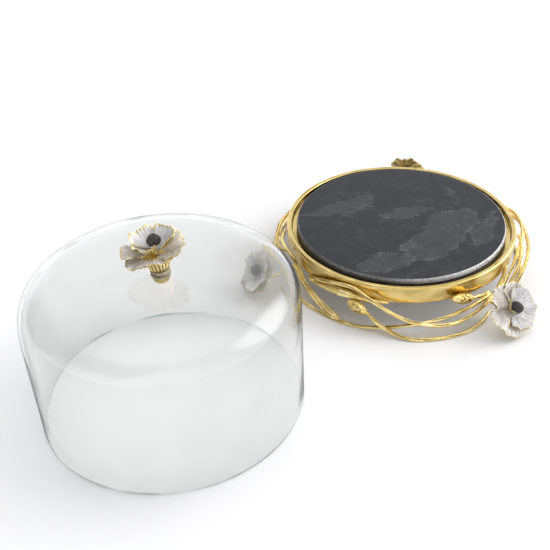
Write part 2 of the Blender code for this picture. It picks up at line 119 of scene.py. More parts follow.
# Courses of the vines: reach from the stand's axis in mm, bearing in degrees, height in mm
FOOT_LOOP = (
    (149, -149, 7), (148, -143, 2.3), (148, -136, 1.75), (148, -126, 1.75), (148, -116, 1.75),
    (148, -107, 2.6), (148, -98, 6.5), (148.5, -90, 11), (149.3, -82, 15), (148.5, -73, 18),
    (148, -64, 22), (147.5, -54, 26.5), (147, -47, 28),
)
LOW_LOOP = (
    (150, -103.5, 22.5), (151, -99.5, 13.5), (153.5, -95.5, 8.5), (157.5, -90, 3.6),
    (160.5, -84, 1.75), (161.5, -76, 1.75), (161, -68, 1.75), (159, -61, 2), (155, -54, 4.5),
    (150.5, -48.5, 8),
)
CROSSING_VINE = (
    (138.5, -139, 32), (139.8, -130, 39), (139.8, -120, 45.3), (140, -112, 46.3),
    (144.3, -104, 39.5), (146, -99, 33), (149, -92, 25), (153.2, -84, 18.6), (155.5, -75, 15),
    (155, -67, 14), (152, -59, 16.5), (147.5, -50, 19.5), (143.5, -43, 22.5), (140.5, -36, 29),
    (138.5, -31, 42),
)
LEFT_TWIG = (
    (138.2, -173, 47), (144.5, -166, 46), (144.5, -160, 44.5), (141.5, -152, 41),
    (139.8, -146, 33.5), (140.5, -140, 22), (142, -131, 13.8), (144.6, -123.5, 9), (145.8, -118, 5),
)
LEFT_TWIG_TWO = (
    (143.2, -148.5, 35), (142.9, -145.5, 31), (143.4, -140.5, 20.8), (144.9, -131.8, 12.6),
    (146.9, -124.8, 7.6), (147.8, -119.8, 4.6),
)
LEFT_HOOK = (
    (138.5, 168, 45), (145.5, 178, 43), (149, -174, 40), (150, -168, 38), (147, -163, 36.5),
    (138.6, -159.5, 37),
)
APRON_VINE = (
    (138.4, -136, 29.5), (141.2, -128, 34.5), (142.2, -118, 36.6), (141.2, -110, 36),
    (139, -103, 34.2), (137.6, -96, 33.4),
)
BUD_TWIG = ((143.9, -56.6, 31.8), (143.2, -51, 29), (142.2, -46, 28))
RIGHT_INNER = (
    (141.5, -40, 13), (140, -33, 19), (140.5, -24, 29), (142, -15, 39.5), (144.5, -5, 45.5),
    (146, 5, 46.5), (145, 14, 47), (138.6, 23, 46),
)
RIGHT_OUTER = (
    (151, -37, 11), (151, -31, 17), (153.5, -22, 33), (152.5, -13, 41), (150, -3, 42.5),
    (149, 7, 41.5), (145.5, 16, 39.5), (138.6, 25, 38.5),
)
RIGHT_RISER = (
    (146, -38, 13.5), (146.5, -31, 22), (147.2, -24, 34), (146, -17, 44), (142.5, -11, 48.3),
    (138.4, -7, 49.4),
)
# Each vine: course, turn round the stand in degrees, radius at its thickest in mm
VINES = {
    "vine_foot_loop_front": (FOOT_LOOP, 0, 1.75),
    "vine_foot_loop_right": (FOOT_LOOP, 130, 1.75),
    "vine_foot_loop_back": (FOOT_LOOP, 228, 1.75),
    "vine_low_loop_front": (LOW_LOOP, 0, 1.75),
    "vine_low_loop_right": (LOW_LOOP, 134, 1.75),
    "vine_low_loop_back": (LOW_LOOP, 230, 1.75),
    "vine_crossing_front": (CROSSING_VINE, 0, 1.8),
    "vine_crossing_back": (CROSSING_VINE[:-2], 228, 1.8),
    "vine_left_twig": (LEFT_TWIG, 0, 1.7),
    "vine_left_twig_two": (LEFT_TWIG_TWO, 0, 1.5),
    "vine_left_hook": (LEFT_HOOK, 0, 1.6),
    "vine_on_apron": (APRON_VINE, 0, 4),
    "vine_bud_twig": (BUD_TWIG, 0, 1.5),
    "vine_right_inner": (RIGHT_INNER, 0, 1.7),
    "vine_right_outer": (RIGHT_OUTER, 0, 1.8),
    "vine_right_riser": (RIGHT_RISER, 0, 1.6),
}
# Each bud: (reach, bearing, height) of its tail and of its tip, and its turn round the stand
LOOP_BUD = ((150, -104.2, 24.6), (149.2, -113, 33.4))
BUDS = {
    "bud_front": (LOOP_BUD, 0),
    "bud_right": (LOOP_BUD, 134),
    "bud_back": (LOOP_BUD, 230),
    "bud_on_twig": (((143.8, -56.6, 31.6), (144, -67, 38.5)), 0),
}


def polar(reach, bearing, height):
    """A point by its distance in mm, bearing in degrees and height in mm from the stand's axis."""
    angle = radians(bearing)
    return STAND + Vector((reach * cos(angle), reach * sin(angle), height)) * MM


# ---- material nodes

def node(home, kind, props=None, **inputs):
    """One shader node of this kind, named without its ShaderNode, in the same tree as home.

    An input is a value, or the socket that feeds it.  i0 is the first input, i1 the second.
    """
    tree = home.id_data
    made = tree.nodes.new("ShaderNode" + kind)
    for key, value in (props or {}).items():
        setattr(made, key, value)
    for key, value in inputs.items():
        numbered = key[0] == "i" and key[1:].isdigit()
        socket = made.inputs[int(key[1:]) if numbered else key.replace("_", " ")]
        if isinstance(value, bpy.types.NodeSocket):
            tree.links.new(value, socket)
        else:
            socket.default_value = value
    return made


def maths(operation, a, b=0, c=0):
    """The result of one Math node.  a or b is a socket."""
    home = a if isinstance(a, bpy.types.NodeSocket) else b
    return node(home, "Math", {"operation": operation}, i0=a, i1=b, i2=c).outputs[0]


def times(a, b):
    """The product of two values."""
    return maths("MULTIPLY", a, b)


def plus(a, b):
    """The sum of two values."""
    return maths("ADD", a, b)


def vector_maths(operation, *values, output=0):
    """The result of one Vector Math node."""
    feeds = {"i%d" % index: value for index, value in enumerate(values)}
    return node(values[0], "VectorMath", {"operation": operation}, **feeds).outputs[output]


def number_of(vector, index):
    """One of a vector's three numbers."""
    return node(vector, "SeparateXYZ", Vector=vector).outputs[index]


def plan_length(vector):
    """A vector's length as seen from above."""
    split = node(vector, "SeparateXYZ", Vector=vector)
    flat = node(vector, "CombineXYZ", X=split.outputs[0], Y=split.outputs[1]).outputs[0]
    return vector_maths("LENGTH", flat, output="Value")


def coordinates(home, kind):
    """An object's own coordinates (Object), its UV map (UV), or a ray's direction (Generated)."""
    return node(home, "TexCoord").outputs[kind]


def ramp(value, low, high, to_low=0, to_high=1):
    """A smooth step from to_low at low to to_high at high."""
    return node(value, "MapRange", {"interpolation_type": "SMOOTHSTEP"}, Value=value, From_Min=low,
                From_Max=high, To_Min=to_low, To_Max=to_high).outputs[0]


def grain(place, scale, detail=4, roughness=0.55, distortion=0):
    """Fractal noise from 0 to 1."""
    return node(place, "TexNoise", Vector=place, Scale=scale, Detail=detail, Roughness=roughness,
                Distortion=distortion).outputs["Fac"]


def stretched(place, scale):
    """The coordinate scaled by a vector."""
    return node(place, "Mapping", Vector=place, Scale=scale).outputs[0]


def blend(share, first, second):
    """A colour between two colours."""
    ends = [value if isinstance(value, bpy.types.NodeSocket) else (*value, 1) for value in (first, second)]
    return node(share, "Mix", {"data_type": "RGBA"}, i0=share, i6=ends[0], i7=ends[1]).outputs[2]


def bump(height, distance):
    """A normal from a height in units of the distance."""
    return node(height, "Bump", Height=height, Distance=distance, Strength=1).outputs[0]


def start_material(name, **constants):
    """A new Principled material, its shader and the object's own coordinates."""
    material = bpy.data.materials.new(name)
    material.use_nodes = True
    shader = material.node_tree.nodes["Principled BSDF"]
    for key, value in constants.items():
        shader.inputs[key.replace("_", " ")].default_value = value
    return material, shader, coordinates(shader, "Object")


def feed(target, **sockets):
    """Link sockets to a node's inputs."""
    for key, socket in sockets.items():
        target.id_data.links.new(socket, target.inputs[key.replace("_", " ")])


# ---- materials

GOLD_BRIGHT = (0.95, 0.78, 0.38)
GOLD_DEEP = (0.74, 0.55, 0.19)
GOLD_PIT = (0.18, 0.11, 0.02)
# Near-black painted shade for the creases, grooves and pits that a UV map marks
CREASE_SHADE = (0.10, 0.06, 0.012)


def cast_gold(name, fine, depth, smooth, rough, shaded_creases=False, veined=False,
              tones=(GOLD_DEEP, GOLD_BRIGHT)):
    """Gold plate over a cast surface: brighter on the high spots, brown in the pits.

    fine is the grain's size in m, depth the bump in m, smooth and rough the roughness range.  A gold
    with shaded creases takes a near-black painted shade where its UV map's first number marks a crease,
    groove or pit.  A veined gold has ribs along a petal.
    """
    material, shader, place = start_material(name, Metallic=1)
    broad = grain(place, 45, 3)
    pits = grain(place, 1 / fine, 5, 0.65)
    tone = blend(ramp(broad, 0.35, 0.68), *tones)
    tone = blend(ramp(pits, 0.44, 0.30, 0, 0.3 if veined else 0.75), tone, GOLD_PIT)
    if shaded_creases:
        # Painted shade: the gold darkens where the UV map marks a crease, groove or pit
        crease = number_of(coordinates(shader, "UV"), 0)
        tone = blend(ramp(crease, 0.15, 0.75, 0, 0.92), tone, CREASE_SHADE)
    height = plus(times(pits, 0.7), times(grain(place, 0.3 / fine, 2), 0.9))
    if veined:
        ribs = grain(stretched(coordinates(shader, "UV"), (1, 10, 1)), 1, 3, 0.6, 0.2)
        tone = blend(ramp(ribs, 0.48, 0.38, 0, 0.75), tone, GOLD_PIT)
        height = plus(height, times(ribs, 3.4))
    feed(shader, Base_Color=tone, Roughness=ramp(pits, 0.3, 0.7, rough, smooth), Normal=bump(height, depth))
    return material


def polished_gold():
    """The tray's polished gold, with faint casting waves and fine wear."""
    material, shader, place = start_material("polished_gold", Metallic=1)
    waves = grain(place, 22, 2)
    wear = grain(place, 700, 4, 0.7)
    smears = grain(stretched(place, (14, 14, 60)), 1, 4, 0.6, 0.6)
    tone = blend(ramp(smears, 0.38, 0.62), (0.52, 0.385, 0.13), (0.80, 0.62, 0.26))
    tone = blend(ramp(wear, 0.36, 0.22, 0, 0.6), tone, GOLD_PIT)
    height = plus(times(waves, 4), times(wear, 0.06))
    feed(shader, Base_Color=tone, Roughness=ramp(smears, 0.3, 0.7, 0.13, 0.24), Normal=bump(height, 0.0006))
    return material


def patch(place, centre, bearing, half_length, half_width):
    """How far a point is inside a long lens on the stone: 1 on its spine and 0 at its edge."""
    local = node(place, "Mapping", {"vector_type": "TEXTURE"}, Vector=place,
                 Location=(centre[0] * MM, centre[1] * MM, 0), Rotation=(0, 0, radians(bearing)),
                 Scale=(half_length * MM, half_width * MM, 1))
    return maths("SUBTRACT", 1, plan_length(local.outputs[0]))


# Lighter clouds in the stone: centre from the disc's axis in mm, bearing, half length, half width
CLOUDS = (
    ((-78, 12), 16, 44, 10), ((-48, 38), 34, 24, 12),
    ((50, -28), 62, 66, 30), ((8, 18), 28, 36, 12),
    ((-14, -88), 20, 34, 20), ((100, -20), 70, 46, 10),
    ((66, 60), 112, 20, 5),
)


def veined_stone():
    """Honed dark stone with cloudy grey-green patches, pale vein lines and fine pale specks.

    Its glossy bevel is painted pale with whitish crystals as a highlight, strongest towards the disc's right
    where the key light falls.
    """
    material, shader, place = start_material("veined_stone")
    local = vector_maths("SUBTRACT", place, tuple(STAND))
    flow = node(local, "Mapping", Vector=local, Rotation=(0, 0, radians(-38)),
                Scale=(16, 34, 20)).outputs[0]
    swirl = node(flow, "TexNoise", Vector=flow, Scale=1, Detail=9, Roughness=0.68)
    shove = vector_maths("MULTIPLY_ADD", swirl.outputs["Color"], (0.07, 0.07, 0), (-0.035, -0.035, 0))
    warped = vector_maths("ADD", local, shove)
    inside = None
    for spot in CLOUDS:
        one = patch(warped, *spot)
        inside = one if inside is None else maths("MAXIMUM", inside, one)
    cloud = ramp(inside, -0.01, 0.06)
    rim = times(ramp(inside, -0.03, 0.02), ramp(inside, 0.12, 0.02))
    mottle = grain(local, 60, 9, 0.78)
    layers = grain(stretched(warped, (26, 90, 10)), 1, 5, 0.6, 0.8)
    off_line = maths("ABSOLUTE", maths("SUBTRACT", layers, 0.5))
    wisps = times(ramp(off_line, 0, 0.028, 1, 0), ramp(mottle, 0.5, 0.66))
    specks = ramp(grain(local, 620, 3, 0.6), 0.60, 0.74)
    tone = blend(ramp(mottle, 0.3, 0.7), (0.014, 0.0155, 0.020), (0.027, 0.0295, 0.035))
    tone = blend(times(cloud, ramp(mottle, 0.25, 0.7, 0.1, 0.9)), tone, (0.050, 0.056, 0.060))
    tone = blend(times(rim, ramp(mottle, 0.42, 0.6, 0.05, 0.8)), tone, (0.115, 0.128, 0.130))
    tone = blend(times(wisps, 0.45), tone, (0.12, 0.13, 0.145))
    tone = blend(times(specks, ramp(cloud, 0, 1, 0.18, 0.6)), tone, (0.16, 0.17, 0.18))
    bevel = edge_mask(local)
    crystals = grain(local, 420, 3, 0.6)
    # Painted highlight: the bevel turns pale, and paler towards the disc's right, where the key light falls
    pale = times(bevel, ramp(crystals, 0.38, 0.60, 0.50, 1))
    pale = times(pale, ramp(number_of(warped, 0), -30 * MM, 80 * MM, 0.14, 1))
    tone = blend(pale, tone, (0.60, 0.585, 0.60))
    honed = ramp(mottle, 0.2, 0.8, 0.40, 0.56)
    rough = maths("SUBTRACT", honed, times(bevel, 0.27))
    gloss = ramp(bevel, 0, 1, 0.22, 1)
    feed(shader, Base_Color=tone, Roughness=rough, Specular_IOR_Level=gloss,
         Normal=bump(plus(mottle, grain(local, 1500, 3)), 0.00012))
    return material


def edge_mask(local):
    """1 on the stone's bevel and 0 elsewhere."""
    side = STONE_RADIUS - EDGE_IN
    top = STONE_HIGH.z - EDGE_DOWN
    outer = ramp(plan_length(local), side - 0.2 * MM, side + 0.5 * MM)
    return times(outer, ramp(number_of(local, 2), top - 1.4 * MM, top))


def clear_glass():
    """Blown glass with a faint green tint and slow waves, with painted shade along its rim and at its edges.

    Shadow rays pass straight through a light grey tint, so the bell casts a soft pale shadow.
    """
    material, shader, place = start_material(
        "clear_glass", Roughness=0, IOR=1.46, Transmission_Weight=1, Specular_IOR_Level=0.5)
    waves = grain(place, 9, 2)
    seeds = grain(place, 40, 3)
    height = number_of(place, 2)
    # Painted shade: a dark green-grey tone along the bottom 2 mm, in place of the dark rim line that
    # refraction gives
    rim = times(ramp(height, 2 * MM, 0.9 * MM), ramp(grain(place, 14, 3), 0.40, 0.58, 0.12, 1))
    tone = blend(ramp(seeds, 0.3, 0.7), (0.884, 0.889, 0.884), (0.906, 0.910, 0.905))
    tone = blend(rim, tone, (0.26, 0.31, 0.29))
    feed(shader, Base_Color=tone, Normal=bump(waves, 0.0012))
    # Painted shade: where the view grazes the wall, the glass turns to a dark grey see-through
    edge = ramp(node(shader, "LayerWeight").outputs["Facing"], 0.80, 0.985, 0, 0.75)
    grazing_shade = node(shader, "BsdfTransparent", Color=(0.50, 0.52, 0.51, 1)).outputs[0]
    body = node(shader, "MixShader", i0=edge, i1=shader.outputs[0], i2=grazing_shade).outputs[0]
    clear = node(shader, "BsdfTransparent", Color=(0.79, 0.795, 0.792, 1)).outputs[0]
    shadow_ray = node(shader, "LightPath").outputs["Is Shadow Ray"]
    mixed = node(shader, "MixShader", i0=shadow_ray, i1=body, i2=clear).outputs[0]
    feed(material.node_tree.nodes["Material Output"], Surface=mixed)
    return material


def veined_enamel(name, low, high):
    """Satin enamel between two tones, with fine grey and pink veins that fan out from the petal's foot, and
    painted shade at the foot.
    """
    material, shader, place = start_material(
        name, Coat_Weight=0.25, Coat_Roughness=0.22, Specular_IOR_Level=0.5)
    lay = coordinates(shader, "UV")
    along = number_of(lay, 0)
    veins = grain(stretched(lay, (2.2, 34, 1)), 1, 4, 0.6, 0.25)
    hairs = grain(stretched(lay, (5, 120, 1)), 1, 3, 0.6)
    cloud = grain(place, 120, 3)
    line = times(ramp(veins, 0.47, 0.34), ramp(along, 0.05, 0.45, 0.35, 1))
    tone = blend(ramp(cloud, 0.35, 0.7), low, high)
    tone = blend(times(ramp(hairs, 0.47, 0.32), 0.45), tone, (0.36, 0.33, 0.33))
    tone = blend(times(line, 0.75), tone, (0.22, 0.175, 0.16))
    # Painted shade: darker towards the petal's foot, round the seed head
    tone = blend(ramp(along, 0.16, 0, 0, 0.5), tone, (0.36, 0.33, 0.30))
    height = plus(veins, times(hairs, 0.5))
    feed(shader, Base_Color=tone, Roughness=ramp(cloud, 0.3, 0.7, 0.30, 0.45), Normal=bump(height, 0.0005))
    return material


def stippled_bead():
    """Dark brown-black seed head, stippled, with a dull painted sheen on its grains' tops and painted shade
    between them.
    """
    material, shader, place = start_material("stippled_bead", Specular_IOR_Level=0.45)
    spots = node(place, "TexVoronoi", Vector=place, Scale=720).outputs["Distance"]
    cloud = grain(place, 260, 3)
    # Painted sheen and shade: each grain is lighter at its top and near black in the gaps round it
    tone = blend(ramp(spots, 0.55, 0.15), (0.012, 0.009, 0.008), (0.105, 0.085, 0.077))
    tone = blend(times(ramp(cloud, 0.55, 0.75), 0.5), tone, (0.10, 0.08, 0.07))
    feed(shader, Base_Color=tone, Roughness=ramp(cloud, 0.3, 0.7, 0.35, 0.6),
         Normal=bump(maths("SUBTRACT", 1, spots), 0.0011))
    return material


def clouded_gasket():
    """Grey translucent gasket, slightly clouded."""
    material, shader, place = start_material(
        "clouded_gasket", Specular_IOR_Level=0.5, Subsurface_Weight=0.3, Subsurface_Scale=0.002)
    cloud = grain(place, 500, 4)
    tone = blend(ramp(cloud, 0.3, 0.7), (0.27, 0.235, 0.16), (0.48, 0.43, 0.32))
    feed(shader, Base_Color=tone, Roughness=ramp(cloud, 0.3, 0.7, 0.22, 0.4), Normal=bump(cloud, 0.0002))
    return material


TRAY_GOLD = polished_gold()
BARK_GOLD = cast_gold("bark_gold", 1.1 * MM, 0.00055, 0.16, 0.36, True)
RIBBED_GOLD = cast_gold("ribbed_gold", 0.9 * MM, 0.0003, 0.16, 0.34, True)
UNDER_GOLD = cast_gold("under_gold", 1.6 * MM, 0.0006, 0.45, 0.7,
                       tones=((0.60, 0.59, 0.57), (0.78, 0.77, 0.75)))
NUT_GOLD = cast_gold("nut_gold", 2.4 * MM, 0.0002, 0.14, 0.24, tones=((0.40, 0.30, 0.11), (0.60, 0.46, 0.19)))
BUD_GOLD = cast_gold("bud_gold", 0.8 * MM, 0.00045, 0.20, 0.40, True)
LEAF_GOLD = cast_gold("leaf_gold", 0.9 * MM, 0.00045, 0.28, 0.48, veined=True,
                      tones=((0.62, 0.50, 0.20), (0.90, 0.79, 0.46)))
STONE = veined_stone()
GLASS = clear_glass()
ENAMEL = veined_enamel("white_enamel", (0.68, 0.665, 0.675), (0.80, 0.79, 0.79))
# The outer petals' enamel: a darker, tan copy of the white, as painted shade and painted gold reflection
SHADED_ENAMEL = veined_enamel("shaded_enamel", (0.56, 0.515, 0.48), (0.74, 0.71, 0.685))
BEAD = stippled_bead()
GASKET = clouded_gasket()


# ---- mesh helpers

def add_piece(name, points, faces, materials, body, stands_for, picks=None, lays=None):
    """One piece that rides on a body and stands for CAD nodes.

    picks gives each face's material, and lays each point's (along, across) for its UV map.
    """
    mesh = bpy.data.meshes.new(name)
    mesh.from_pydata([tuple(point) for point in points], [], faces)
    for material in materials:
        mesh.materials.append(material)
    if picks is not None:
        for polygon, pick in zip(mesh.polygons, picks):
            polygon.material_index = pick
    if lays is not None:
        layer = mesh.uv_layers.new(name="UVMap")
        for loop in mesh.loops:
            layer.data[loop.index].uv = lays[loop.vertex_index]
    work = bmesh.new()
    work.from_mesh(mesh)
    bmesh.ops.recalc_face_normals(work, faces=work.faces)
    work.to_mesh(mesh)
    work.free()
    mesh.shade_smooth()
    mesh.set_sharp_from_angle(angle=SHARP_ANGLE)
    piece = bpy.data.objects.new(name, mesh)
    bpy.context.scene.collection.objects.link(piece)
    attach(piece, body)
    if stands_for:
        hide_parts(*stands_for)
    return piece


def loft(rings, closed_along=False):
    """Points and faces of a skin over rings of equal length.  A ring of one point is a tip."""
    points = [point for ring in rings for point in ring]
    starts = [0]
    for ring in rings:
        starts.append(starts[-1] + len(ring))
    faces = []
    for index in range(len(rings) if closed_along else len(rings) - 1):
        first, second = rings[index], rings[(index + 1) % len(rings)]
        a, b = starts[index], starts[(index + 1) % len(rings)]
        count = max(len(first), len(second))
        for step in range(count):
            ahead = (step + 1) % count
            if len(first) == 1 and len(second) == 1:
                continue
            if len(first) == 1:
                faces.append((a, b + ahead, b + step))
            elif len(second) == 1:
                faces.append((a + step, a + ahead, b))
            else:
                faces.append((a + step, a + ahead, b + ahead, b + step))
    return points, faces


def add_skin(name, rings, material, body, node_name, lays=None, closed_along=False):
    """One piece skinned over rings, in one material, that stands for one CAD node."""
    points, faces = loft(rings, closed_along)
    add_piece(name, points, faces, [material], body, [node_name], lays=lays)


def turned(outline, segments, place, shape=None):
    """Rings of a closed outline of (radius, height) turned about the place's Z.

    shape(radius, angle, height) gives the moved (radius, height) there.
    """
    rings = []
    for radius, height in outline:
        if radius <= 0:
            rings.append([place @ Vector((0, 0, height))])
            continue
        ring = []
        for step in range(segments):
            angle = 2 * pi * step / segments
            r, h = shape(radius, angle, height) if shape else (radius, height)
            ring.append(place @ Vector((r * cos(angle), r * sin(angle), h)))
        rings.append(ring)
    return rings


def rounded(corners, steps=5):
    """The closed outline through (radius, height, round) corners, each rounded by its own size."""
    outline = []
    count = len(corners)
    for index, (x, z, size) in enumerate(corners):
        here = Vector((x, z))
        if size <= 0:
            outline.append((x, z))
            continue
        before = (Vector(corners[index - 1][:2]) - here).normalized() * size
        after = (Vector(corners[(index + 1) % count][:2]) - here).normalized() * size
        for step in range(steps + 1):
            t = step / steps
            point = here + before * (1 - t) ** 2 + after * t ** 2
            outline.append((point.x, point.y))
    return outline


def catmull(points, step):
    """Points along a smooth curve through the control points, about one step apart."""
    ends = [2 * points[0] - points[1]] + points + [2 * points[-1] - points[-2]]
    path = []
    for index in range(1, len(ends) - 2):
        a, b, c, d = ends[index - 1:index + 3]
        count = max(1, round((c - b).length / step))
        for part in range(count):
            t = part / count
            path.append(0.5 * (2 * b + (c - a) * t + (2 * a - 5 * b + 4 * c - d) * t ** 2
                               + (3 * b - a - 3 * c + d) * t ** 3))
    path.append(points[-1].copy())
    return path


def along_path(path):
    """Each path point with two directions square to the path, carried along without twist."""
    side = None
    for index, centre in enumerate(path):
        before = path[max(index - 1, 0)]
        after = path[min(index + 1, len(path) - 1)]
        ahead = (after - before).normalized()
        if side is None:
            side = ahead.cross(UP)
            if side.length < 0.1:
                side = ahead.cross(Vector((1, 0, 0)))
        side = (side - ahead * side.dot(ahead)).normalized()
        yield centre, side, ahead.cross(side)


def hoop(side, up, count):
    """Directions all round a path at one of its points: each angle and its unit vector."""
    for step in range(count):
        angle = 2 * pi * step / count
        yield angle, cos(angle) * side + sin(angle) * up


def wobble(point, size):
    """Smooth noise from -1 to 1 at a point, with features of about this size."""
    return noise.noise(point / size)


# ---- stand: tray and stone

def build_tray():
    """The gilt pan: rounded rim with a step below it, channel, floor, and apron with a soft edge."""
    centre = Matrix.Translation(STAND)
    outer = TRAY_RADIUS
    wall = outer - 0.5 * MM
    inner = outer - 5.7 * MM
    floor = STONE_LOW.z - 0.3 * MM
    rim = TRAY_HIGH.z
    foot = TRAY_LOW.z - APRON_DROP
    under = floor - 2.8 * MM
    corners = [
        (0, under, 0),
        (wall - 3.6 * MM, under, 2 * MM),
        (wall - 3.6 * MM, foot, 0.5 * MM),
        (wall, foot, 0.9 * MM),
        (wall, rim - 8 * MM, 3 * MM),
        (outer, rim - 4.4 * MM, 1.6 * MM),
        (outer, rim, 2.3 * MM),
        (inner, rim, 1.7 * MM),
        (inner, floor, 1.2 * MM),
        (0, floor, 0),
    ]

    def cast(radius, angle, height):
        """Casting waves in the wall and a slightly uneven lower edge."""
        if radius < inner - 6 * MM:
            return radius, height
        spot = Vector((cos(angle), sin(angle), height / outer)) * outer
        low = max(0, 1 - (height - foot) / (6 * MM))
        wave = 0.28 * MM * wobble(spot, 24 * MM) + 0.08 * MM * wobble(spot, 6 * MM)
        return radius + min(wave, 0.2 * MM), height + low * 0.5 * MM * max(wobble(spot, 16 * MM), 0)

    points, faces = loft(turned(rounded(corners), ROUND_SEGMENTS, centre, cast))
    picks = []
    for face in faces:
        spot = sum((points[corner] for corner in face), Vector()) / len(face) - STAND
        below = spot.xy.length < wall - 3.2 * MM and spot.z < under + 1 * MM
        picks.append(1 if below else 0)
    add_piece("tray_shell", points, faces, [TRAY_GOLD, UNDER_GOLD], "stand", ["tray"], picks)


def build_stone():
    """The stone disc with a softly bevelled, slightly chipped edge."""
    centre = Matrix.Translation(STAND)
    low, high = STONE_LOW.z, STONE_HIGH.z
    outline = [(0, low), (STONE_RADIUS - 0.8 * MM, low), (STONE_RADIUS, low + 0.8 * MM)]
    for step in range(9):
        turn = radians(90 * step / 8)
        outline.append((STONE_RADIUS - EDGE_IN * (1 - cos(turn)), high - EDGE_DOWN * (1 - sin(turn))))
    outline += [(STONE_RADIUS - 6 * MM, high), (0, high)]

    def chipped(radius, angle, height):
        """Small hollows where the edge is worn."""
        if radius < STONE_RADIUS - 3 * MM:
            return radius, height
        spot = Vector((cos(angle), sin(angle), height / STONE_RADIUS)) * STONE_RADIUS
        wear = 0.16 * MM * abs(wobble(spot, 9 * MM)) + 0.14 * MM * max(wobble(spot, 2.4 * MM), 0)
        return radius - wear, height

    rings = turned(outline, 2 * ROUND_SEGMENTS, centre, chipped)
    add_skin("stone_slab", rings, STONE, "stone", "stone_disc")


# ---- stand: vines and buds

def vine_path(name):
    """The centre line of a vine."""
    course, turn, _ = VINES[name]
    return catmull([polar(reach, bearing + turn, height) for reach, bearing, height in course], TWIG_STEP)


def build_vine(name):
    """One vine: a bark-ridged bar with knots, thin rounded ends and a groove along it, painted dark as shade.
    """
    thick = VINES[name][2] * MM
    path = vine_path(name)
    last = len(path) - 1
    length = last * TWIG_STEP
    lot = random.Random(name)
    knots = [lot.uniform(0.06, 0.94) for _ in range(max(2, round(length / KNOT_SPACING)))]
    turn = lot.uniform(0, 6.28)
    rings = []
    lays = []
    for index, (centre, side, up) in enumerate(along_path(path)):
        share = index / last
        if name == "vine_on_apron":
            radius = 1.7 * MM + (thick - 1.7 * MM) * sin(pi * share) ** 1.4
        else:
            radius = TWIG_SWELL * thick * (1 + 0.10 * wobble(centre, 14 * MM))
        end = min(share, 1 - share) * length / TWIG_TAPER
        radius *= min(1, 0.45 + 0.55 * end ** 0.5)
        for knot in knots:
            gap = (share - knot) * length / KNOT_LENGTH
            radius *= 1 + 0.16 * exp(-gap * gap)
        toward = outward(centre, 0.75, 0.65)
        seam = atan2(toward.dot(up), toward.dot(side)) + 1.1 * wobble(centre, 24 * MM)
        strength = min(max(0.75 + 1.1 * wobble(centre, 17 * MM), 0.15), 1)
        if name == "vine_on_apron":
            strength *= 0.3
        ring = []
        for angle, out in hoop(side, up, TWIG_SIDES):
            off = abs((angle - seam + pi) % (2 * pi) - pi)
            groove = strength * exp(-(off / GROOVE_HALF_ANGLE) ** 2)
            spot = centre + out * radius
            ridge = 0.05 * cos(4 * angle + turn + 9 * share) - 0.26 * groove
            bark = 0.10 * wobble(spot, 1.9 * MM) + 0.07 * wobble(spot, 4 * MM)
            point = centre + out * radius * (0.98 + ridge + bark)
            point.z = max(point.z, 0)
            ring.append(point)
            # The groove's share goes to the UV map, where the bark gold paints shade into it
            lays.append((groove, 0))
        rings.append(ring)
    rings.insert(0, [path[0].lerp(path[1], -0.6)])
    rings.append([path[-1].lerp(path[-2], -0.6)])
    add_skin(name.replace("vine_", "twig_"), rings, BARK_GOLD, "stand", name, tipped(lays))


def outward(point, out, up):
    """A direction away from the stand's axis and upwards, by these shares."""
    away = Vector((point.x - STAND.x, point.y - STAND.y, 0)).normalized()
    return out * away + Vector((0, 0, up))


def tipped(lays):
    """The lays of a skin with a plain point at either end."""
    return [(0, 0)] + lays + [(0, 0)]


def build_solder():
    """Small gilt swellings where two vines touch."""
    paths = {name: vine_path(name)[::3] for name in VINES}
    names = list(VINES)
    touches = []
    for first in range(len(names)):
        for second in range(first + 1, len(names)):
            touches += crossings(paths[names[first]], paths[names[second]])
    points = []
    faces = []
    for touch in touches:
        more, skin = loft(pebble(*touch))
        faces += [tuple(corner + len(points) for corner in face) for face in skin]
        points += more
    add_piece("twig_joins", points, faces, [BARK_GOLD], "stand", [])


def crossings(first, second):
    """Where two paths come within joining distance: (middle, direction, size) at each nearest point."""
    found = []
    best = None
    for index, point in enumerate(first):
        near = min(second, key=lambda other: (other - point).length_squared)
        gap = (near - point).length
        if gap < JOIN_REACH:
            if best is None or gap < best[0]:
                best = (gap, index, near)
        elif best is not None:
            found.append(best)
            best = None
    if best is not None:
        found.append(best)
    joins = []
    for gap, index, near in found:
        ahead = first[min(index + 1, len(first) - 1)] - first[max(index - 1, 0)]
        joins.append(((first[index] + near) / 2, ahead.normalized(), max(gap / 2, 1.4 * MM)))
    return joins


def pebble(centre, along, size):
    """Rings of a small uneven lump, longer along the vine."""
    rings = []
    half = size + 2 * MM
    path = [centre + along * half * (share / 4 - 1) for share in range(9)]
    for index, (spot, side, up) in enumerate(along_path(path)):
        radius = (size + 0.9 * MM) * sqrt(max(1 - (index / 4 - 1) ** 2, 0))
        if radius <= 0.05 * MM:
            rings.append([spot])
            continue
        ring = []
        for _, out in hoop(side, up, PEBBLE_SIDES):
            point = spot + out * radius * (1 + 0.18 * wobble(spot + out * radius, 2 * MM))
            point.z = max(point.z, 0)
            ring.append(point)
        rings.append(ring)
    return rings


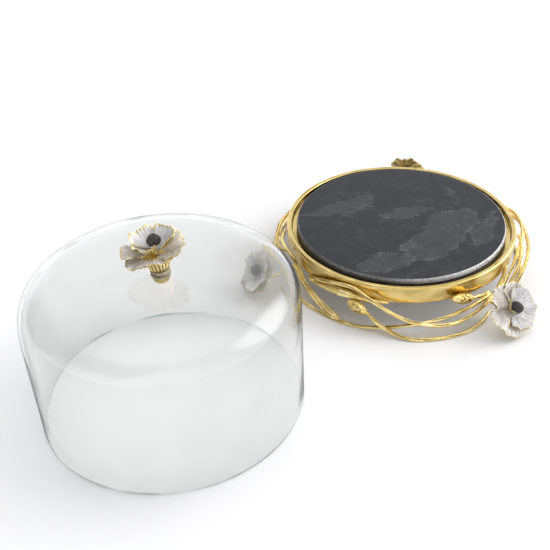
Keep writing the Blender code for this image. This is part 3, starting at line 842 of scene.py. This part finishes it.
def build_bud(name):
    """A gilt bud: an egg with a smooth crown, small scales round it and pits on its outward side, painted
    dark as shade.
    """
    ends, turn = BUDS[name]
    tail, tip = (polar(reach, bearing + turn, height) for reach, bearing, height in ends)
    along = (tip - tail).normalized()
    tail = tail - along * 2.2 * MM
    tip = tip + along * (3.4 if name == "bud_on_twig" else 1.4) * MM
    toward = outward(tip, 0.85, 0.5)
    path = [tail.lerp(tip, step / POD_STEPS) for step in range(POD_STEPS)]
    rings = []
    lays = []
    for index, (centre, side, up) in enumerate(along_path(path)):
        share = index / POD_STEPS
        swell = max((share - 0.10) / 0.90, 0)
        radius = max(POD_RADIUS * sin(pi * swell ** 0.86) ** 0.58, 1.9 * MM if share < 0.5 else 0)
        row = share * 11
        ring = []
        for angle, out in hoop(side, up, POD_SIDES):
            spot = centre + out * radius
            column = 4 * angle + 0.5 * pi * (int(row) % 2)
            scale = abs(cos(column)) ** 0.5 * sin(pi * (row % 1)) ** 0.5
            hollow = min(max(3.4 * (wobble(spot, 1.9 * MM) - 0.02), 0), 1)
            hollow *= min(max(1.6 * out.dot(toward), 0), 1)
            middle_share = max(1 - ((share - 0.55) / 0.34) ** 2, 0) ** 0.5
            pit = middle_share * max(hollow, 0.45 * (1 - scale))
            ring.append(centre + out * radius * (1.03 - 0.15 * pit + 0.04 * wobble(spot, 1.5 * MM)))
            # The pit's depth, in the pits and between the scales, goes to the UV map, where the bud gold
            # paints shade into it
            lays.append((pit, 0))
        rings.append(ring)
    rings = [[tail - along * 0.6 * MM]] + rings + [[tip]]
    add_skin(name.replace("bud_", "pod_"), rings, BUD_GOLD, "stand", name, tipped(lays))


# ---- flowers

# How a whorl is made: (its petals' height at the foot, rise, the rise's power, the edge's roll back),
# the petals' skew, the rows in their gilt edge, the front's enamel.  Heights and the skew are in mm
OUTER_WHORL = ((1, 7.5, 1.6, 3), 1.3, 1, SHADED_ENAMEL)
INNER_WHORL = ((1.6, 13.5, 1.7, 0), 0.9, 1, ENAMEL)
KNOB_OUTER_WHORL = ((0, 9, 1.6, 2.6), 1.4, 2, SHADED_ENAMEL)
KNOB_INNER_WHORL = ((1.6, 14, 1.6, 0), 1, 3, ENAMEL)


def rise(profile, share):
    """The height of a petal's middle at a share of its reach."""
    foot, height, power, roll = profile
    return MM * (foot + height * share ** power - roll * share ** 6)


def petal(place, bearing, half_angle, reach, lift, kind, lot):
    """One petal, a thin fan-shaped sheet: its points, faces, materials and (along, across) lays.

    lift scales the height that the whorl's kind gives it.  A broad petal has more ribs and columns.
    The front is enamel; the edge and the back are gilt.
    """
    profile, skew, rim_rows, _ = kind
    breadth = max(1, half_angle / PLAIN_HALF_ANGLE)
    columns = round(PETAL_COLUMNS * breadth)
    phases = [lot.uniform(0, 6.28) for _ in range(4)]
    seed = Vector((lot.uniform(0, 9), lot.uniform(0, 9), lot.uniform(0, 9)))

    def surface(share, across):
        """A point of the petal's front."""
        narrow = sin(pi / 2 * min(1, 0.25 + share * 0.95)) ** 0.8
        angle = bearing + half_angle * narrow * across
        fan = breadth * across
        lobe = 1 - 0.20 * abs(across) ** 2.6 - 0.035 * (1 + cos(9 * fan + phases[0])) / 2
        lobe -= 0.02 * (1 + cos(23 * fan + phases[1])) / 2
        radius = reach * share * (1 - (1 - lobe) * share)
        height = rise(profile, share) * lift
        height += 1.5 * MM * share ** 3 * sin(5.2 * fan + phases[2])
        height += 0.6 * MM * share ** 2 * sin(11 * fan + phases[3])
        height += 0.62 * MM * share * sin(30 * fan + phases[0] + 1.5 * sin(5 * share))
        height += 0.5 * MM * share * noise.noise(seed + Vector((share * 3, fan * 4, 0)))
        height += skew * MM * across
        height -= 1.1 * MM * abs(across) ** 3 * share
        return Vector((radius * cos(angle), radius * sin(angle), height))

    front = []
    lays = []
    for row in range(PETAL_ROWS + 1):
        share = 0.07 + 0.93 * (1 - (1 - row / PETAL_ROWS) ** 1.5)
        front.append([surface(share, 2 * column / columns - 1) for column in range(columns + 1)])
        lays.append([(share, column / PETAL_COLUMNS + seed.x) for column in range(columns + 1)])
    back = []
    for row in range(PETAL_ROWS + 1):
        line = []
        for column in range(columns + 1):
            down = front[max(row - 1, 0)][column] - front[min(row + 1, PETAL_ROWS)][column]
            cross = front[row][min(column + 1, columns)] - front[row][max(column - 1, 0)]
            normal = cross.cross(down).normalized()
            if normal.z < 0:
                normal = -normal
            line.append(front[row][column] - normal * PETAL_THICKNESS * (1 - 0.35 * row / PETAL_ROWS))
        back.append(line)
    width = columns + 1
    points = [place @ point for sheet in (front, back) for line in sheet for point in line]
    flat = [lay for line in lays for lay in line] * 2
    offset = width * (PETAL_ROWS + 1)
    faces = []
    picks = []
    for row in range(PETAL_ROWS):
        for column in range(columns):
            a = row * width + column
            quad = (a, a + 1, a + width + 1, a + width)
            wide = noise.noise(seed + Vector((row, column, 0)) * 0.23) > 0
            side = rim_rows > 1 and wide
            rim = row >= PETAL_ROWS - rim_rows - wide
            rim = rim or (row > 3 and not side < column < columns - 1 - side)
            faces.append(quad)
            picks.append(1 if rim else 0)
            faces.append(tuple(corner + offset for corner in reversed(quad)))
            picks.append(1)
    edge = list(range(width))
    edge += [row * width + columns for row in range(1, PETAL_ROWS + 1)]
    edge += [PETAL_ROWS * width + column for column in range(columns - 1, -1, -1)]
    edge += [row * width for row in range(PETAL_ROWS - 1, 0, -1)]
    for index, corner in enumerate(edge):
        other = edge[(index + 1) % len(edge)]
        faces.append((corner, other, other + offset, corner + offset))
        picks.append(1)
    return points, faces, picks, flat


def build_whorl(name, place, petals, kind, lot, body, node_name):
    """A ring of petals, each (bearing and half angle in degrees, reach in mm, lift)."""
    points, faces, picks, lays = [], [], [], []
    for bearing, half_angle, reach, lift in petals:
        more, skin, choice, lay = petal(place, radians(bearing), radians(half_angle),
                                        reach * MM, lift, kind, lot)
        faces += [tuple(corner + len(points) for corner in face) for face in skin]
        points += more
        picks += choice
        lays += lay
    add_piece(name, points, faces, [kind[-1], LEAF_GOLD], body, [node_name], picks, lays)


def seed_head(name, centre, axis, radius, body, node_name):
    """A rough seed head: blunt on top, drawn in below, covered in small grains."""
    turn = axis.to_track_quat("Z", "Y").to_matrix()
    rings = [[centre - axis * radius]]
    for row in range(1, SEED_ROWS):
        turn_up = pi * row / SEED_ROWS - pi / 2
        ring = []
        for step in range(SEED_SIDES):
            angle = 2 * pi * step / SEED_SIDES
            out = Vector((cos(turn_up) * cos(angle), cos(turn_up) * sin(angle), sin(turn_up)))
            size = 1 - 0.30 * max(0, -out.z) - 0.12 * max(0, out.z - 0.5)
            size += 0.07 * cos(3 * angle + pi / 2) * cos(turn_up)
            size += 0.05 * noise.noise(out * 2.2 + centre * 40) + 0.05 * noise.noise(out * 11)
            ring.append(centre + turn @ (out * radius * size))
        rings.append(ring)
    rings.append([centre + axis * radius * 0.86])
    add_skin(name, rings, BEAD, body, node_name)


def calyx(name, place, outline, ribs, depth, body, node_name):
    """A ribbed gilt cup under a flower, from its outline in mm, with painted shade in the grooves between its
    ribs.
    """
    outline = [(radius * MM, height * MM) for radius, height in outline]

    def ribbed(radius, angle, height):
        """Round ribs with narrow grooves between them."""
        rib = abs(sin(0.5 * ribs * angle)) ** 0.6 - 1
        return radius + depth * rib * min(radius / (6 * MM), 1), height

    rings = turned(outline, 10 * ribs, place, ribbed)
    # Each groove's depth goes to the UV map, where the ribbed gold paints shade into it
    lays = []
    for ring in rings:
        grooves = [1 - abs(sin(pi * step / 10)) ** 0.6 for step in range(len(ring))]
        lays += [(groove if len(ring) > 1 else 0, 0) for groove in grooves]
    add_skin(name, rings, RIBBED_GOLD, body, node_name, lays)


def flower_frame(side):
    """A stand flower's frame: its Z points out of the open flower and its Y up."""
    angle = radians(FLOWERS[side])
    away = Vector((cos(angle), sin(angle), 0))
    facing = away * cos(FLOWER_TILT) + Vector((0, 0, sin(FLOWER_TILT)))
    centre = middle("flower_" + side + "_bead") - facing * SEEDS_UP * MM
    across = UP.cross(facing).normalized()
    up = facing.cross(across)
    turn = Matrix((across, up, facing)).transposed().to_4x4()
    return Matrix.Translation(centre) @ turn


# Petals of a stand flower: bearing and half angle in degrees, reach in mm, lift (1 is the whorl's own)
OUTER_PETALS = ((178, 42, 34, 1), (236, 40, 33, 1), (298, 40, 30, 0.9), (0, 40, 30, 0.9),
                (60, 42, 30.5, 1), (120, 40, 32.5, 1))
INNER_PETALS = ((146, 44, 17, 1.25), (334, 112, 26, 0.74))
# The flower behind the tray: low petals at the sides and one broad, raised petal at the top
BACK_OUTER = ((172, 48, 27.5, 0.60), (236, 40, 29, 0.8), (298, 40, 28, 0.8), (6, 50, 18, 0.10),
              (94, 98, 23, 1.36))
BACK_INNER = ((150, 56, 13, 0.55), (280, 62, 20, 0.8), (40, 56, 12, 0.55))
# Outlines of the gilt cups: radius and height in mm from the cup's own foot or top
SEPALS = ((0, -10.4), (3, -10.4), (3.8, -7.6), (5.2, -5), (7.6, -2.6), (9, -0.9), (9.2, -0.4),
          (0, -0.4))
COLLAR = ((0, 0.15), (7.6, 0.15), (8.6, 1.2), (10, 3.4), (10.9, 6.2), (11, 9), (11.1, 11.6),
          (11.6, 14), (12.4, 16.2), (13.2, 17.8), (12.6, 18.2), (0, 18.2))


def build_flower(side):
    """A stand flower: ribbed gilt back, outer and inner petals, seed head and stalk."""
    lot = random.Random(side)
    place = flower_frame(side)
    facing = (place.to_3x3() @ UP).normalized()
    name = "bloom_" + side
    node_name = "flower_" + side
    calyx(name + "_sepals", place, SEPALS, 14, 0.35 * MM, "stand", node_name + "_back")
    outer, inner = (BACK_OUTER, BACK_INNER) if side == "back" else (OUTER_PETALS, INNER_PETALS)
    for whorl, petals, kind in (("_outer_petals", outer, OUTER_WHORL), ("_inner_petals", inner, INNER_WHORL)):
        build_whorl(name + whorl, place, petals, kind, lot, "stand", node_name + whorl)
    bead = node_name + "_bead"
    seed_head(name + "_seeds", middle(bead), facing, SEEDS_RADIUS, "stand", bead)
    build_stalk(side, place)


def build_stalk(side, place):
    """A short uneven stalk from the sepals in to the wreath, and at the left on to its twin rod."""
    low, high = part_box("flower_" + side + "_stem")
    start = place @ Vector((0, 0, -9.8 * MM))
    inner = polar(146, FLOWERS[side], (low[2] + high[2]) / 2 / MM + 2)
    bend = start.lerp(inner, 0.5) - Vector((0, 0, 2 * MM))
    course = [start, bend, inner]
    if side == "left":
        course.append(polar(*LEFT_TWIG_TWO[0]))
    path = catmull(course, TWIG_STEP)
    rings = []
    for centre, across, up in along_path(path):
        ring = []
        for _, out in hoop(across, up, TWIG_SIDES):
            size = STALK_RADIUS * (1 + 0.16 * wobble(centre + out * MM, 1.8 * MM))
            ring.append(centre + out * size)
        rings.append(ring)
    rings = [[path[0]]] + rings + [[path[-1]]]
    add_skin("bloom_" + side + "_stalk", rings, BARK_GOLD, "stand", "flower_" + side + "_stem")


# ---- glass bell and knob

BELL_WALL = 3.2 * MM
BELL_SHOULDER = 84 * MM
BELL_POWER = 5
KNOB_LEAN = radians(-8)
NUT_SHIFT = Vector((2.4 * MM, 0, 0))
KNOB_SINK = 2.2 * MM
KNOB_SEGMENTS = 48
# Petals of the knob: bearing and half angle in degrees, reach in mm, lift
KNOB_OUTER = ((190, 44, 31, 1.15), (229, 40, 30, 0.15), (292, 42, 28, 0.75), (345, 42, 30, 1.1),
              (50, 40, 30, 1), (118, 38, 30, 1))
KNOB_INNER = ((138, 62, 21.5, 1), (238, 64, 19.5, 0.82), (22, 70, 21.5, 1))


def bell_line(inset, steps=30):
    """The bell's surface from the wall's foot to the hole in its top, moved in by the inset."""
    radius = BELL_RADIUS - inset
    room = BELL_HIGH.z - inset - BELL_SHOULDER
    power = 2 / BELL_POWER
    line = [(radius, 6 * MM), (radius, 30 * MM), (radius, 58 * MM)]
    for step in range(steps + 1):
        angle = radians(80) * step / steps
        line.append((radius * cos(angle) ** power, BELL_SHOULDER + room * sin(angle) ** power))
    for reach in (40, 24, 12, 4):
        share = (reach * MM / radius) ** BELL_POWER
        line.append((reach * MM, BELL_SHOULDER + room * (1 - share) ** (1 / BELL_POWER)))
    return line


def build_bell():
    """The clear bell with a fire-polished rim and slow waves in its wall."""
    rim = [(BELL_RADIUS - BELL_WALL / 2 + cos(turn) * BELL_WALL / 2, (1 + sin(turn)) * BELL_WALL / 2)
           for turn in (pi * (1 + step / 10) for step in range(11))]
    outline = rim + bell_line(0) + bell_line(BELL_WALL)[::-1]

    def blown(radius, angle, height):
        """The wall's slight unevenness, the same outside and inside but for its phase."""
        if radius < BELL_RADIUS * 0.8:
            return radius, height
        lift = min(height / (20 * MM), 1)
        spot = Vector((cos(angle), sin(angle), height / BELL_RADIUS)) * radius
        return radius + lift * 0.18 * MM * (wobble(spot, 60 * MM) - 0.6), height

    rings = turned(outline, ROUND_SEGMENTS, Matrix.Translation(BELL), blown)
    for ring, (radius, _) in zip(rings, outline):
        share = max(0, 1 - radius / (60 * MM))
        for point in ring:
            point += NUT_SHIFT * share
    add_skin("bell_glass", rings, GLASS, "bell", "glass_bell", closed_along=True)


def heights(node_name):
    """The lowest and the highest point of a CAD node, in mm."""
    low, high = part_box(node_name)
    return low[2] / MM, high[2] / MM


def small_turned(name, corners, material, node_name, place, shape=None, close=False):
    """A small turned piece of the knob from its corners in mm."""
    outline = rounded([(x * MM, z * MM, r * MM) for x, z, r in corners])
    rings = turned(outline, KNOB_SEGMENTS, place, shape)
    add_skin(name, rings, material, "bell", node_name, closed_along=close)


def build_knob():
    """The flower knob: gasket, ribbed collar and petals outside; stud, washer and cap nut inside."""
    lot = random.Random("knob")
    top = BELL_HIGH.z / MM
    upright = Matrix.Translation(BELL + NUT_SHIFT)
    low, high = heights("knob_gasket")
    small_turned("knob_gasket_ring", [(3.4, low, 0.2), (9.4, low, 0.7), (9.2, high, 0.7), (3.4, high, 0.2)],
                 GASKET, "knob_gasket", upright, close=True)
    low, high = top - 5.1, top - 3.5
    small_turned("knob_washer_ring", [(3.4, low, 0.2), (9.2, low, 0.5), (9.2, high, 0.5), (3.4, high, 0.2)],
                 GASKET, "knob_inner_washer", upright, close=True)
    foot, head = heights("knob_cap_nut")
    small_turned("knob_dome_nut", [(0, foot, 0), (5.2, foot + 0.2, 2.6), (8.1, foot + 4.4, 2),
                                   (8.2, head - 0.4, 0.4), (7.6, head, 0.3), (0, head, 0)],
                 NUT_GOLD, "knob_cap_nut", upright)
    low, high = heights("knob_stud")

    def thread(radius, angle, height):
        """A fine screw thread."""
        return radius - 0.2 * MM * (1 + sin(height / (0.16 * MM) - angle)) / 2, height

    corners = [(0, low, 0), (3, low, 0)]
    corners += [(3, low + 0.4 * step, 0) for step in range(1, int((high - low) / 0.4))]
    corners += [(3, high, 0), (0, high, 0)]
    small_turned("knob_threaded_stud", corners, LEAF_GOLD, "knob_stud", upright, shape=thread)
    (_, _, foot), (_, _, head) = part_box("knob_collar")
    base = BELL + NUT_SHIFT + Vector((0, 0, foot))
    leaning = Matrix.Translation(base) @ Matrix.Rotation(KNOB_LEAN, 4, "Y")
    calyx("knob_calyx", leaning, COLLAR, 20, 1.1 * MM, "bell", "knob_collar")
    place = leaning @ Matrix.Translation((0, 0, head - foot - 0.2 * MM))
    sunk = place @ Matrix.Translation((0, 0, -KNOB_SINK))
    build_whorl("knob_bloom_outer", sunk, KNOB_OUTER, KNOB_OUTER_WHORL, lot, "bell", "knob_outer_petals")
    build_whorl("knob_bloom_inner", place, KNOB_INNER, KNOB_INNER_WHORL, lot, "bell", "knob_inner_petals")
    axis = (place.to_3x3() @ UP).normalized()
    seed_head("knob_seeds", middle("knob_bead"), axis, KNOB_SEEDS_RADIUS, "bell", "knob_bead")


# ---- stage, light and camera

def build_floor():
    """A plain pale floor."""
    mesh = bpy.data.meshes.new("floor")
    corners = [(-1, -1), (1, -1), (1, 1), (-1, 1)]
    mesh.from_pydata([(FLOOR_HALF * x, FLOOR_HALF * y, 0) for x, y in corners], [], [(0, 1, 2, 3)])
    paint, _, _ = start_material("floor_paint", Roughness=0.9, Specular_IOR_Level=0.1,
                                 Base_Color=(0.80, 0.80, 0.81, 1))
    mesh.materials.append(paint)
    floor = bpy.data.objects.new("floor", mesh)
    floor.location.z = -FLOOR_GAP
    bpy.context.scene.collection.objects.link(floor)


# Patches of the studio: bearing and height in degrees, where the patch is full, where it ends, level
PATCHES = (
    (-75, 18, 14, 38, 1.40),
    (-132, 52, 16, 34, 0.04),
    (165, 22, 14, 32, 0.10),
    (20, 31, 12, 34, 4.9),
    (100, 82, 10, 40, 1.7),
)


def build_world():
    """A white studio, brighter near the horizon, with brighter and darker patches."""
    world = bpy.data.worlds.new("studio")
    bpy.context.scene.world = world
    world.use_nodes = True
    background = world.node_tree.nodes["Background"]
    ray = coordinates(background, "Generated")
    lift = number_of(ray, 2)
    tone = blend(ramp(lift, 0.15, 0.75), (1.25, 1.25, 1.27), (0.85, 0.85, 0.85))
    tone = blend(ramp(lift, 0.20, 0.04), tone, (1.75, 1.75, 1.82))
    for bearing, height, near, far, level in PATCHES:
        facing = vector_maths("DOT_PRODUCT", ray, direction(bearing, height), output="Value")
        share = ramp(facing, cos(radians(far)), cos(radians(near)))
        tone = blend(share, tone, (level, level, level))
    feed(background, Color=tone)
    background.inputs["Strength"].default_value = WORLD_STRENGTH


def direction(bearing, height):
    """A unit direction from its bearing and height in degrees."""
    turn, lift = radians(bearing), radians(height)
    return Vector((cos(lift) * cos(turn), cos(lift) * sin(turn), sin(lift)))


def build_camera():
    """The camera, looking down on the object from the front."""
    camera = bpy.data.cameras.new("camera")
    camera.sensor_width = CAMERA_SENSOR
    camera.lens = CAMERA_LENS
    camera.shift_x = CAMERA_SHIFT
    camera.clip_start = 0.01
    camera.clip_end = 60
    holder = bpy.data.objects.new("camera", camera)
    turn = Matrix.Rotation(CAMERA_TURN, 4, "Z")
    tip = Matrix.Rotation(pi / 2 - CAMERA_DOWN, 4, "X")
    roll = Matrix.Rotation(CAMERA_ROLL, 4, "Z")
    holder.matrix_world = Matrix.Translation(CAMERA_PLACE) @ turn @ tip @ roll
    bpy.context.scene.collection.objects.link(holder)
    bpy.context.scene.camera = holder


build_camera()
build_floor()
build_world()
bpy.context.scene.view_settings.view_transform = "Standard"
build_tray()
build_stone()
for vine in VINES:
    build_vine(vine)
build_solder()
for bud in BUDS:
    build_bud(bud)
for side in FLOWERS:
    build_flower(side)
build_bell()
build_knob()
